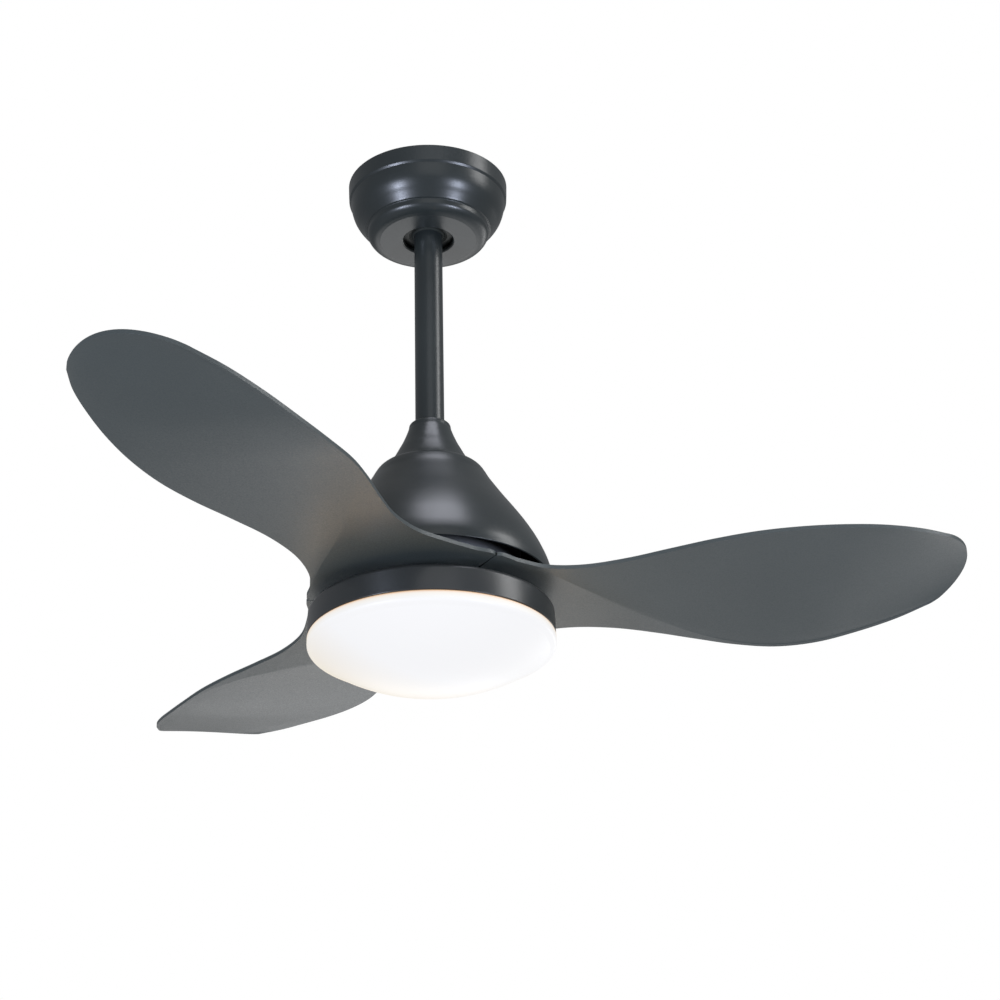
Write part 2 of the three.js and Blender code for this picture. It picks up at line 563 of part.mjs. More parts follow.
function makeDiffuser() {
  const wall = 2;
  const domeRadius = 189;
  const domeCentre = 145.9;
  const dome = (radius, thickness) =>
    [radius, domeCentre - Math.sqrt((domeRadius - thickness) ** 2 - radius ** 2)];
  const outer = [0, 40, 72, 96].map((radius) => dome(radius, 0));
  const inner = [100, 76, 42, 0].map((radius) => dome(radius, wall));
  const shell = turned([
    ...outer, [DIFFUSER_RADIUS - 2.2, -9.4], [DIFFUSER_RADIUS, -5], [DIFFUSER_RADIUS, -1], [104.6, -0.6],
    [104.6, 8], [102.8, 8], [102.8, -5], ...inner,
  ], 48);
  return join(shell, ...lugs(104, 106.8, 3.4, 5.6, 6));
}
add(head, 'diffuser', makeDiffuser(), opal);

export default fan;
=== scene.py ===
import json
import math

import bmesh
import bpy
from mathutils import Matrix, Vector


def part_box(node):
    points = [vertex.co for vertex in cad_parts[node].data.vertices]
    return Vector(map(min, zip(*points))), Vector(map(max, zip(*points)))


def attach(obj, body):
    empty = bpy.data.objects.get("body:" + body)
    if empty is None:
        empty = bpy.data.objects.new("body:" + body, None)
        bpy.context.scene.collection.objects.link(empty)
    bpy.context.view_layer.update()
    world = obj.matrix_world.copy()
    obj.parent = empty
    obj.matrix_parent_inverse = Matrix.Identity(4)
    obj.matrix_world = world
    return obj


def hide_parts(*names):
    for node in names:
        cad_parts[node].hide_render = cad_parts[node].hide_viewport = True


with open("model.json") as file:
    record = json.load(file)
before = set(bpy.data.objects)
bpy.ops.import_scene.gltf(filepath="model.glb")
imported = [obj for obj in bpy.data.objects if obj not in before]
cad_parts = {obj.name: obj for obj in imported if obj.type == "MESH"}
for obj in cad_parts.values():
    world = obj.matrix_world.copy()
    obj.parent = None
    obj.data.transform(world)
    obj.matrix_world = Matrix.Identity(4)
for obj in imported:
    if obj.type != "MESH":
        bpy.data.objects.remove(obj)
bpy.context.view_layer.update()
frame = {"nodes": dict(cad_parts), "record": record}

# A three-blade ceiling fan with a round light, seen from below as it hangs.
# Profiles are pairs of [radius, height] in millimetres. Heights on the head of the fan are
# measured up from the lower edge of the light's ring, and on the canopy down from the ceiling.
MM = 0.001
RING_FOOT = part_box("light_housing")[0].z / MM
TIP_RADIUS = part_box("blade_1")[1].x / MM - 1.9
BLADE_COUNT = 3
BLADE_PARK_ANGLE = 0.8
BLADE_THICKNESS = 3.5
BLADE_BORE = 24
ROOT_RADIUS = 109
SEAM_GAP = 1.6
TIP_LIFT = 9
CANOPY_RADIUS = 76.1
CANOPY_SCREW_LEVEL = -9
CANOPY_SCREW_ANGLES = {"canopy_screw_1": 25, "canopy_screw_2": 155}
ROUND = 144            # faces round the large covers
SLIM = 72              # faces round the rod, ball and shaft
CAMERA_LENS = 87.66
CAMERA_TURN = (1.815, 25.82, -1.30)            # pan, pitch and roll in degrees
CAMERA_PLACE = (0, -1.989, -0.827 + RING_FOOT * MM)


# ------------------------------------------------------------------ finishes
def linear(hex_colour):
    """A colour written as sRGB hex, as the linear value that shaders take."""
    channels = [int(hex_colour[i:i + 2], 16) / 255 for i in (1, 3, 5)]
    straight = [c / 12.92 if c <= 0.04045 else ((c + 0.055) / 1.055) ** 2.4 for c in channels]
    return (*straight, 1.0)


def node(tree, kind, settings=None, **links):
    """Adds a node. settings are its properties and unlinked inputs, links its linked inputs."""
    made = tree.nodes.new(kind)
    for key, value in (settings or {}).items():
        if key in made.inputs:
            made.inputs[key].default_value = value
        else:
            setattr(made, key, value)
    for key, source in links.items():
        tree.links.new(source, made.inputs[key.replace("_", " ")])
    return made


def blank_material(name):
    """A material with an empty node tree."""
    made = bpy.data.materials.new(name)
    made.use_nodes = True
    made.node_tree.nodes.clear()
    return made, made.node_tree


def coated(name, colour, shade, roughness, grain_mm, grain_depth_mm, metallic=0.0, gloss_spread=0.06,
           cloud_mm=60, **shader):
    """A painted, moulded or cast surface: a fine grain in the bump and in the gloss, and a
    faint drift of tone across the piece."""
    made, tree = blank_material(name)
    place = node(tree, "ShaderNodeTexCoord").outputs["Object"]
    grain = node(tree, "ShaderNodeTexNoise", {"Scale": 1000 / grain_mm, "Detail": 3.0, "Roughness": 0.55},
                 Vector=place)
    cloud = node(tree, "ShaderNodeTexNoise", {"Scale": 1000 / cloud_mm, "Detail": 2.0}, Vector=place)
    tone = node(tree, "ShaderNodeMapRange", {"From Min": 0.3, "From Max": 0.7}, Value=cloud.outputs["Fac"])
    tint = node(tree, "ShaderNodeMix", {"data_type": "RGBA"}, Factor=tone.outputs["Result"])
    tint.inputs["A"].default_value = linear(colour)
    tint.inputs["B"].default_value = linear(shade)
    gloss = node(tree, "ShaderNodeMapRange", {
        "From Min": 0.3, "From Max": 0.7,
        "To Min": roughness - gloss_spread, "To Max": roughness + gloss_spread,
    }, Value=grain.outputs["Fac"])
    bump = node(tree, "ShaderNodeBump", {"Strength": 1.0, "Distance": grain_depth_mm * MM},
                Height=grain.outputs["Fac"])
    surface = node(tree, "ShaderNodeBsdfPrincipled", {"Metallic": metallic, **shader},
                   Roughness=gloss.outputs["Result"], Normal=bump.outputs["Normal"])
    tree.links.new(tint.outputs["Result"], surface.inputs["Base Color"])
    node(tree, "ShaderNodeOutputMaterial", Surface=surface.outputs["BSDF"])
    return made


def drawn_metal(name, colour, shade, roughness, streak_mm, along):
    """Rolled or turned metal: fine streaks that run one way, along X, Y or Z."""
    made, tree = blank_material(name)
    place = node(tree, "ShaderNodeTexCoord").outputs["Object"]
    across = 1000 / streak_mm
    stretch = [across / 40 if axis == along else across for axis in "XYZ"]
    lay = node(tree, "ShaderNodeMapping", {"Scale": stretch}, Vector=place)
    streaks = node(tree, "ShaderNodeTexNoise", {"Scale": 1.0, "Detail": 4.0, "Roughness": 0.6},
                   Vector=lay.outputs["Vector"])
    tint = node(tree, "ShaderNodeMix", {"data_type": "RGBA"}, Factor=streaks.outputs["Fac"])
    tint.inputs["A"].default_value = linear(colour)
    tint.inputs["B"].default_value = linear(shade)
    gloss = node(tree, "ShaderNodeMapRange", {
        "From Min": 0.3, "From Max": 0.7, "To Min": roughness - 0.08, "To Max": roughness + 0.08,
    }, Value=streaks.outputs["Fac"])
    bump = node(tree, "ShaderNodeBump", {"Strength": 0.6, "Distance": 0.02 * MM},
                Height=streaks.outputs["Fac"])
    surface = node(tree, "ShaderNodeBsdfPrincipled", {"Metallic": 1.0},
                   Roughness=gloss.outputs["Result"], Normal=bump.outputs["Normal"])
    tree.links.new(tint.outputs["Result"], surface.inputs["Base Color"])
    node(tree, "ShaderNodeOutputMaterial", Surface=surface.outputs["BSDF"])
    return made


def opal_acrylic():
    """Opal acrylic lit from inside by LEDs: an even white face that warms in the last few millimetres
    below the ring, where the light has come through the sheet at a slant, and towards the back."""
    made, tree = blank_material("opal_acrylic_lit")
    place = node(tree, "ShaderNodeTexCoord").outputs["Object"]
    height = node(tree, "ShaderNodeSeparateXYZ", {}, Vector=place)
    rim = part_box("diffuser")[1].x
    share = node(tree, "ShaderNodeMapRange", {
        "From Min": (RING_FOOT - 9) * MM, "From Max": (RING_FOOT - 0.9) * MM,
    }, Value=height.outputs["Z"])
    glow = node(tree, "ShaderNodeValToRGB", {}, Fac=share.outputs["Result"])
    stops = glow.color_ramp.elements
    stops[0].position, stops[0].color = 0.0, linear("#f8f8f9")
    stops[1].position, stops[1].color = 1.0, linear("#e6b98c")
    for position, colour in ((0.35, "#f8f7f4"), (0.7, "#f8f1e6"), (0.88, "#f6ddc2")):
        stop = stops.new(position)
        stop.color = linear(colour)
    lean = node(tree, "ShaderNodeVectorMath", {"operation": "DOT_PRODUCT"})
    tree.links.new(place, lean.inputs[0])
    lean.inputs[1].default_value = (-0.5, 0.86, 0)
    cream = node(tree, "ShaderNodeMapRange", {"From Min": -0.01, "From Max": rim},
                 Value=lean.outputs["Value"])
    warmed = node(tree, "ShaderNodeMix", {"data_type": "RGBA", "blend_type": "MULTIPLY"},
                  Factor=cream.outputs["Result"])
    tree.links.new(glow.outputs["Color"], warmed.inputs["A"])
    warmed.inputs["B"].default_value = linear("#f6e8ce")
    haze = node(tree, "ShaderNodeTexNoise", {"Scale": 1000 / 0.9, "Detail": 2.0}, Vector=place)
    bump = node(tree, "ShaderNodeBump", {"Strength": 0.3, "Distance": 0.02 * MM}, Height=haze.outputs["Fac"])
    surface = node(tree, "ShaderNodeBsdfPrincipled", {
        "Base Color": linear("#7c7a77"), "Roughness": 0.4, "Emission Strength": 0.775, "IOR": 1.49,
        "Specular IOR Level": 0.2,
    }, Normal=bump.outputs["Normal"])
    tree.links.new(warmed.outputs["Result"], surface.inputs["Emission Color"])
    node(tree, "ShaderNodeOutputMaterial", Surface=surface.outputs["BSDF"])
    return made


# Satin graphite powder coat on pressed steel: soft broad highlights and a faint 1.6 mm orange peel.
graphite_coat = coated("graphite_powder_coat", "#272c2c", "#242929", 0.32, 1.6, 0.004, cloud_mm=70,
                       gloss_spread=0.03)
# Satin graphite paint: a shade smoother and more neutral than the coat above it.
ring_coat = coated("graphite_satin_paint", "#2d2f2f", "#2a2c2b", 0.31, 1.2, 0.003, cloud_mm=80,
                   gloss_spread=0.03)
# Spark-textured ABS: matt grey with a broad sheen. The real 0.4 mm grain is drawn at 1.3 mm to show.
blade_abs = coated("graphite_moulded_abs", "#3f4544", "#3c4241", 0.44, 1.3, 0.035, cloud_mm=90,
                   gloss_spread=0.1)
# Zinc plate: bright blue-white metal with rolling streaks.
zinc_plate = drawn_metal("zinc_plated_steel", "#b4b7ba", "#8e9296", 0.34, 0.8, "X")
# Dark plated steel for the hanger bracket, darker than bare zinc plate: a painted shade that keeps the hole
# round the rod dark.
dark_bracket_shade = coated("dark_bracket_steel_painted_shade", "#2b2e2d", "#252827", 0.45, 0.8, 0.008, metallic=0.6)
# Die-cast alloy: dull silver with the mould's fine pitting.
cast_alloy = coated("die_cast_alloy", "#9b9d9f", "#8b8d90", 0.5, 1.1, 0.05, metallic=1.0)
# Turned steel: darker and shinier, its streaks run with the shaft.
turned_steel = drawn_metal("turned_steel", "#9a9da1", "#787b80", 0.28, 0.6, "Z")
# Varnished laminations: dark grey, half dull.
lamination = coated("electrical_steel_laminations", "#5c6066", "#4d5157", 0.45, 0.6, 0.03, metallic=0.9)
# Sintered ferrite: almost black and chalky.
ferrite = coated("sintered_ferrite", "#2b2d30", "#232528", 0.6, 0.7, 0.04)
# Enamelled wire: warm red-brown and glossy, ridged at the wire's 0.7 mm.
copper_wire = coated("enamelled_copper_wire", "#9c4f26", "#7b3a1b", 0.3, 0.7, 0.12, metallic=0.9)
# Natural nylon: milky white and waxy.
natural_nylon = coated("moulded_natural_nylon", "#dedbd2", "#d2cec4", 0.45, 0.9, 0.01)
# Dark nylon: deep olive grey that hardly reflects.
grey_nylon = coated("moulded_dark_grey_nylon", "#2a2e2b", "#262a28", 0.62, 1.0, 0.012,
                    **{"Specular IOR Level": 0.2})
# Black ABS: matt black boxes.
black_abs = coated("moulded_black_abs", "#1c1e20", "#181a1c", 0.48, 0.9, 0.03)
# Black passivated screws: dark with a metal glint.
black_steel = coated("black_passivated_steel", "#26282b", "#1f2124", 0.38, 0.7, 0.01, metallic=0.7)
# PVC sleeving: black and slightly rubbery.
pvc_sleeve = coated("black_pvc_sleeving", "#1a1b1d", "#151618", 0.42, 1.2, 0.02)
# Enamelled sheet: clean warm white that spreads the LEDs' light.
white_enamel = coated("white_enamelled_sheet", "#ebebe6", "#e2e2dc", 0.32, 1.2, 0.008)
# Solder mask: flat bright white.
solder_mask = coated("white_solder_mask", "#efefe9", "#e4e4de", 0.38, 0.5, 0.008)
opal = opal_acrylic()

FINISH_OF_SLOT = {
    "graphite_paint": graphite_coat, "graphite_ring": ring_coat, "blade_abs": blade_abs,
    "zinc_steel": zinc_plate, "cast_alloy": cast_alloy, "motor_steel": turned_steel,
    "bearing_steel": turned_steel, "lamination_steel": lamination, "copper_wire": copper_wire,
    "ferrite": ferrite, "nylon": natural_nylon, "grey_nylon": grey_nylon, "black_abs": black_abs,
    "black_screw": black_steel, "wire_sleeve": pvc_sleeve, "white_enamel": white_enamel,
    "led_board": solder_mask, "opal_acrylic": opal,
}
SLOT_OF_NODE = {row["node"]: row["material_slot"] for row in frame["record"]["subparts"]}
BODIES = frame["record"]["behaviour"]["bodies"]
BODY_OF_NODE = {name: body for body, names in BODIES.items() for name in names}


# ------------------------------------------------------------------ lines and profiles
def smooth_line(points, per_span=8):
    """A centripetal Catmull-Rom line through points, its ends included."""
    points = [Vector(p) for p in points]
    padded = [2 * points[0] - points[1], *points, 2 * points[-1] - points[-2]]
    line = []
    for p0, p1, p2, p3 in zip(padded, padded[1:], padded[2:], padded[3:]):
        knots = [0.0]
        for a, b in ((p0, p1), (p1, p2), (p2, p3)):
            knots.append(knots[-1] + max((b - a).length, 1e-9) ** 0.5)
        t0, t1, t2, t3 = knots
        for i in range(per_span):
            t = t1 + (t2 - t1) * i / per_span
            a1 = (p0 * (t1 - t) + p1 * (t - t0)) / (t1 - t0)
            a2 = (p1 * (t2 - t) + p2 * (t - t1)) / (t2 - t1)
            a3 = (p2 * (t3 - t) + p3 * (t - t2)) / (t3 - t2)
            b1 = (a1 * (t2 - t) + a2 * (t - t0)) / (t2 - t0)
            b2 = (a2 * (t3 - t) + a3 * (t - t1)) / (t3 - t1)
            line.append((b1 * (t2 - t) + b2 * (t - t1)) / (t2 - t1))
    return [*line, points[-1]]


def rounded(corners, closed=True):
    """A profile whose corners [radius, height, fillet] are rounded by arcs of the fillet's radius."""
    line = []
    count = len(corners)
    for i, corner in enumerate(corners):
        here = Vector(corner[:2])
        fillet = corner[2] if len(corner) > 2 else 0
        at_end = not closed and i in (0, count - 1)
        if not fillet or at_end:
            line.append(here)
            continue
        back = Vector(corners[i - 1][:2]) - here
        on = Vector(corners[(i + 1) % count][:2]) - here
        half = back.angle(on) / 2
        reach = min(fillet / math.tan(half), back.length * 0.49, on.length * 0.49)
        fillet = reach * math.tan(half)
        centre = here + (back.normalized() + on.normalized()).normalized() * (fillet / math.sin(half))
        start = here + back.normalized() * reach - centre
        end = here + on.normalized() * reach - centre
        steps = max(2, math.ceil(math.degrees(start.angle(end)) / 15))
        for k in range(steps + 1):
            share = k / steps
            ray = (start * (1 - share) + end * share).normalized() * fillet
            line.append(centre + ray)
    return line


def arc(centre, radius, from_degrees, to_degrees, steps):
    """Points along an arc in a profile, from one angle to another."""
    swing = to_degrees - from_degrees
    turn = [math.radians(from_degrees + swing * i / steps) for i in range(steps + 1)]
    return [Vector((centre[0] + radius * math.cos(a), centre[1] + radius * math.sin(a))) for a in turn]


# ------------------------------------------------------------------ pieces
def new_piece(name, bm, material, body, slot, nodes, sharp_degrees=38):
    """Turns a bmesh in millimetres into a finished piece in the frame, riding on a body."""
    bmesh.ops.scale(bm, vec=(MM, MM, MM), verts=bm.verts)
    mesh = bpy.data.meshes.new(name)
    bm.to_mesh(mesh)
    bm.free()
    mesh.shade_smooth()
    mesh.set_sharp_from_angle(angle=math.radians(sharp_degrees))
    mesh.materials.append(material)
    piece = bpy.data.objects.new(name, mesh)
    bpy.context.scene.collection.objects.link(piece)
    even = piece.modifiers.new("flats_stay_flat", "WEIGHTED_NORMAL")
    even.keep_sharp = True
    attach(piece, body)
    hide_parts(*nodes)
    return piece


def stand_in(name, bm, node_name, finish=None, **options):
    """A piece that takes a CAD node's place, with the node's own body and finish."""
    slot = SLOT_OF_NODE[node_name]
    finish = finish or FINISH_OF_SLOT[slot]
    return new_piece(name, bm, finish, BODY_OF_NODE[node_name], slot, [node_name], **options)


def turned(profile, steps, lift=0.0, closed=True):
    """A profile of [radius, height] points spun round the fan's axis."""
    bm = bmesh.new()
    verts = [bm.verts.new((p[0], 0, p[1] + lift)) for p in profile]
    pairs = list(zip(verts, verts[1:]))
    if closed:
        pairs.append((verts[-1], verts[0]))
    edges = [bm.edges.new(pair) for pair in pairs]
    bmesh.ops.spin(bm, geom=verts + edges, cent=(0, 0, 0), axis=(0, 0, 1), dvec=(0, 0, 0),
                   angle=math.tau, steps=steps, use_merge=True, use_duplicate=False)
    bmesh.ops.remove_doubles(bm, verts=bm.verts, dist=1e-4)
    bmesh.ops.recalc_face_normals(bm, faces=bm.faces)
    return bm


def softened(name, node_name, edge, finish=None):
    """A CAD piece again with its sharp edges rounded by edge millimetres."""
    source = frame["nodes"][node_name]
    bm = bmesh.new()
    bm.from_mesh(source.data)
    bmesh.ops.transform(bm, matrix=Matrix.Scale(1 / MM, 4) @ source.matrix_world, verts=bm.verts)
    bmesh.ops.remove_doubles(bm, verts=bm.verts, dist=0.01)
    bmesh.ops.dissolve_limit(bm, angle_limit=math.radians(1), verts=bm.verts, edges=bm.edges)
    sharp = math.radians(30)
    seams = [e for e in bm.edges if len(e.link_faces) == 2]
    corners = [e for e in seams if e.calc_face_angle() > sharp]
    bmesh.ops.bevel(bm, geom=corners, offset=edge, segments=2, profile=0.5, affect="EDGES", material=-1,
                    clamp_overlap=True)
    return stand_in(name, bm, node_name, finish)


def ring_piece(name, node_name, corners):
    """A turned piece in the head whose corners are [radius, height, fillet]."""
    return stand_in(name, turned(rounded(corners), SLIM, RING_FOOT), node_name)


def pan_head_screw(shank_radius, shank_length, head_radius, head_height):
    """A screw standing on its thread, head up at height 0, with a cross recess."""
    pitch = 0.8
    thread = [(0, -shank_length), (shank_radius * 0.7, -shank_length)]
    for turn in range(int((shank_length - 1) / pitch)):
        foot = -shank_length + 0.3 + turn * pitch
        thread += [(shank_radius - 0.3, foot), (shank_radius, foot + pitch / 2)]
    recess = head_radius * 0.62
    slot_half = 0.5
    profile = [*thread, (shank_radius - 0.2, -0.3), (shank_radius, 0), (head_radius - 0.2, 0),
               (head_radius, 0.25), (head_radius, head_height * 0.45),
               (head_radius * 0.9, head_height * 0.78), (head_radius * 0.74, head_height * 0.95),
               (recess, head_height), (slot_half, head_height), (0, head_height)]
    bm = turned(profile, 24, closed=False)
    cross = []
    for face in bm.faces:
        middle = face.calc_center_median()
        reach = math.hypot(middle.x, middle.y)
        quarter = math.degrees(math.atan2(middle.y, middle.x)) % 90
        if middle.z > head_height - 1e-3 and (reach < slot_half or (reach < recess and quarter < 15)):
            cross.append(face)
    deep = bmesh.ops.extrude_face_region(bm, geom=cross)["geom"]
    floor = [v for v in deep if isinstance(v, bmesh.types.BMVert)]
    bmesh.ops.translate(bm, vec=(0, 0, -head_height * 0.6), verts=floor)
    return bm


def make_screws():
    """Every pan-head screw in the fan: its head faces up, down or, on the canopy, outwards."""
    kinds = [
        ("motor_cover_screw", 1, 1.9, 6, 3.6, 1.8), ("blade_screw", -1, 1.8, 8.5, 4, 2),
        ("light_housing_screw", -1, 1.8, 5.5, 3.6, 2), ("tray_screw", -1, 1.9, 23, 3.6, 1.6),
    ]
    for start, up, *sizes in kinds:
        for node_name in (n for n in frame["nodes"] if n.startswith(start)):
            low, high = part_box(node_name)
            middle = (low + high) / 2 / MM
            top = (high.z if up > 0 else low.z) / MM - up * sizes[-1]
            bm = pan_head_screw(*sizes)
            flip = Matrix.Rotation(0 if up > 0 else math.pi, 4, "X")
            place = Matrix.Translation((middle.x, middle.y, top))
            bmesh.ops.transform(bm, matrix=place @ flip, verts=bm.verts)
            stand_in(f"{node_name}_cut", bm, node_name, sharp_degrees=45)
    under_head = Matrix.Translation((CANOPY_RADIUS + 0.1, 0, CANOPY_SCREW_LEVEL))
    for node_name, angle in CANOPY_SCREW_ANGLES.items():
        bm = pan_head_screw(2, 12, 4, 1.8)
        out = Matrix.Rotation(math.radians(angle), 4, "Z") @ under_head
        bmesh.ops.transform(bm, matrix=out @ Matrix.Rotation(math.pi / 2, 4, "Y"), verts=bm.verts)
        stand_in(f"{node_name}_cut", bm, node_name, sharp_degrees=45)


def make_inner_parts():
    """Bracket, boxes, bearings and turned motor parts, which show when covers are moved."""
    # The bracket's dark steel is a painted shade for the hole round the rod.
    softened("hanger_bracket_pressed", "ceiling_bracket", 0.5, dark_bracket_shade)
    softened("receiver_case", "receiver", 1.6)
    softened("terminal_block_case", "terminal_block", 0.8)
    softened("harness_plug_case", "harness_plug", 0.9)
    softened("led_driver_case", "led_driver", 1.4)
    softened("stator_stack", "stator_core", 0.25)
    softened("shaft_nut_hex", "shaft_nut", 0.6)
    ring_piece("rotor_cup", "rotor_upper", [
        (18, 83.7, 0.3), (21.5, 83.7, 0.3), (21.5, 86.2, 0.4), (77.5, 86.2, 0.4), (77.5, 47.2, 0.3),
        (80.5, 47.2, 0.3), (80.5, 88.6, 2.6), (21.5, 88.6, 0.8), (21.5, 93, 0.5), (18, 93, 0.4)])
    ring_piece("rotor_plate", "rotor_lower", [
        (10.5, 41.8, 0.3), (86, 41.8, 0.8), (86, 46.8, 0.8), (21.5, 46.8, 0.8), (21.5, 52.6, 0.5),
        (18, 52.6, 0.4), (18, 43.7, 0.2), (10.5, 43.7, 0.3)])
    ring_piece("light_plate", "light_mounting_plate", [
        (8.8, 25.2, 0.3), (58, 25.2, 0.6), (58, 27.6, 0.6), (16, 27.6, 1.2), (16, 34, 0.6), (8.8, 34, 0.4)])
    ring_piece("magnet_band", "magnet_ring", [
        (71.2, 54, 0.5), (77, 54, 0.5), (77, 82, 0.5), (71.2, 82, 0.5)])
    for place, foot in (("lower", 44), ("upper", 84)):
        ring_piece(f"bearing_{place}_race_in", f"bearing_{place}_inner", [
            (8.8, foot, 0.4), (11.69, foot, 0.2), (11.69, foot + 1.6), (10.4, foot + 3.1, 1),
            (10.4, foot + 4.9, 1), (11.69, foot + 6.4), (11.69, foot + 8, 0.2), (8.8, foot + 8, 0.4)])
        ring_piece(f"bearing_{place}_race_out", f"bearing_{place}_outer", [
            (14.81, foot, 0.2), (17.7, foot, 0.5), (17.7, foot + 8, 0.5), (14.81, foot + 8, 0.2),
            (14.81, foot + 6.4), (16.1, foot + 4.9, 1), (16.1, foot + 3.1, 1), (14.81, foot + 1.6)])
    ring_piece("rod_coupling_cast", "rod_coupling", [
        (8.8, 97, 0.5), (18.5, 97, 1.2), (18.5, 158.8, 0.6), (34, 158.8, 0.8), (34, 162.8, 0.8),
        (18.5, 162.8, 1.6), (18.5, 192, 1.4), (13.65, 192, 0.6), (13.65, 134.5, 0.4), (8.8, 131.5, 0.4)])


# ------------------------------------------------------------------ canopy
def make_canopy():
    """Spun and pressed sheet: an upright band, a rolled step, a full belly, a lower step and a
    flat floor with a turned-up lip round the hole for the rod."""
    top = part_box("canopy")[1].z / MM
    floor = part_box("canopy")[0].z / MM
    hole = 23.8
    wall = 1.5
    belly = smooth_line([(73.9, -19.3), (73.3, -22.5), (72.4, -26.5), (70.6, -31.7), (67.5, -37.1),
                         (64, -41.7), (60.6, -46.4)])
    foot = smooth_line([(58, -49.7), (57.3, -52.9), (54.9, -55.9), (51, -58), (45.4, floor)])
    lining = [(45.4, floor + wall, 0), (54, -55, 3), (56.8, -49, 1), (59.2, -45.9, 1),
              (66.8, -34.9, 8), (71.2, -25.1, 8), (72.3, -18.5, 1), (73.9, -16, 1), (74.4, top, 0.4)]
    outside = [(CANOPY_RADIUS, top, 0.5), (75.9, -9.5), (75.6, -15.9, 2.4)]
    upper = rounded([*outside, (74, -18.1, 1.4), (*belly[0], 0)], closed=False)
    middle = rounded([(*belly[-1], 0), (59.9, -47.6, 0.8), (58.4, -48, 1.0), (*foot[0], 0)], closed=False)
    lip = rounded([(45.4, floor), (hole, floor, 1.6), (hole, floor + 4, 0.5), (hole + 1.3, floor + 4, 0.5),
                   (hole + 1.5, floor + wall, 1), (45.4, floor + wall)], closed=False)
    profile = [*upper, *belly[1:-1], *middle, *foot[1:-1], *lip[:-1], *rounded(lining, closed=False)]
    return stand_in("canopy_cover", turned(profile, ROUND), "canopy")


# ------------------------------------------------------------------ rod, ball and rod cover
def make_rod():
    """Painted pipe with its ends deburred."""
    low, high = (corner.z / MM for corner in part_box("downrod"))
    outer, inner = 13.35, 11.75
    profile = rounded([(inner, low, 0.4), (outer, low, 0.4), (outer, high, 0.4), (inner, high, 0.4)])
    return stand_in("rod_tube", turned(profile, SLIM), "downrod")


def make_ball():
    """The nylon ball on the rod's top, cut flat above and open below for the rod."""
    centre = (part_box("hanger_ball")[1].z / MM) - 16
    bore, radius = 13.65, 22
    skin = arc((0, centre), radius, -50, 46, 24)
    profile = [(bore, skin[0][1]), *skin, (bore, centre + 16)]
    return stand_in("hanger_ball_turned", turned(profile, SLIM), "hanger_ball")


def make_rod_cover():
    """A spun trumpet that hides the rod's coupling, with a rounded shoulder round the rod."""
    bore = 13.75
    flare = smooth_line([(39.4, 166.9), (36, 172), (32.4, 178.4), (29.1, 184.8), (26.1, 190.6),
                         (23.6, 196.2), (21.4, 201.8), (19.6, 207)])
    shoulder = rounded([(*flare[-1], 0), (18.8, 212.5, 3.6), (bore, 212.5, 0.5), (bore, 209.8, 0.5),
                        (16.8, 209, 2), (18.8, 202)], closed=False)
    back = smooth_line([(18.8, 202), (22.7, 194), (26.5, 185.8), (31, 177.2), (37.4, 166.9)])
    return stand_in("rod_cover_spun", turned([*flare[:-1], *shoulder[:-1], *back], ROUND, RING_FOOT),
                    "coupling_cover")


# ------------------------------------------------------------------ motor cover
def make_motor_cover():
    """A bell of spun steel: a flat crown under the rod cover, a rounded shoulder, a long flank
    that flares and then turns down into a steep rim."""
    flank = smooth_line([(108, 56), (107.5, 60.6), (105.6, 67.8), (102.4, 76), (98.2, 85.2), (92.8, 95),
                         (86.2, 105.6), (78.9, 116.2), (70.6, 127.8), (62.6, 139.6), (55.6, 150.4),
                         (51.4, 158), (48.8, 161.9), (45.6, 164.6), (41, 166.2), (33, 166.5)])
    lining = smooth_line([(33, 164.9), (41, 164.4), (46.4, 161), (49.6, 156.6), (53.8, 149.4), (61, 138),
                          (68.8, 126.8), (84.4, 104.8), (96.4, 84.6), (103.8, 67.2), (106.1, 56)])
    rim = rounded([(*lining[-1], 0), (106.2, 51.8, 0.7), (108, 51.8, 0.7), (*flank[0], 0)], closed=False)
    crown = [(21, 166.5), (21, 164.9)]
    return stand_in("motor_bell", turned([*flank, *crown, *lining[:-1], *rim[:-1]], ROUND, RING_FOOT),
                    "motor_cover")


# ------------------------------------------------------------------ light
def make_ring():
    """The lamp's painted ring: a shallow pan with a rounded upper shoulder."""
    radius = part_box("light_housing")[1].x / MM
    profile = rounded([
        (radius - 1.6, 0, 0.5), (radius, 0, 0.8), (radius, 12), (radius - 0.5, 24.9, 4.5), (30, 24.9, 0.5),
        (30, 23.4, 0.5), (radius - 2.4, 23.4, 3.4), (radius - 1.6, 12),
    ])
    return stand_in("light_ring", turned(profile, ROUND, RING_FOOT), "light_housing")


def make_diffuser():
    """A pressed opal dish: a short upright rim that rolls into a shallow dome, and a neck that
    goes up inside the ring."""
    dome_radius = 189
    centre = 145.9
    rim_radius = 110.2
    neck = 104.6
    wall = 2
    steps = 28
    dome = [104.5 * math.sin(math.pi / 2 * i / steps) for i in range(steps + 1)]
    back = [r * 0.97 for r in reversed(dome)]
    outside = [(r, centre - math.sqrt(dome_radius ** 2 - r ** 2)) for r in dome]
    inside = [(r, centre - math.sqrt((dome_radius - wall) ** 2 - r ** 2)) for r in back]
    rim = rounded([(*outside[-1], 0), (rim_radius, -9, 3.6), (rim_radius, -0.9, 0.8), (neck, -0.9, 0.3),
                   (neck, 8, 0.6), (neck - 1.8, 8, 0.6), (neck - 1.8, -7, 2), (*inside[0], 0)], closed=False)
    bm = turned([*outside[:-1], *rim, *inside[1:]], ROUND, RING_FOOT, closed=False)
    return stand_in("opal_diffuser", bm, "diffuser")


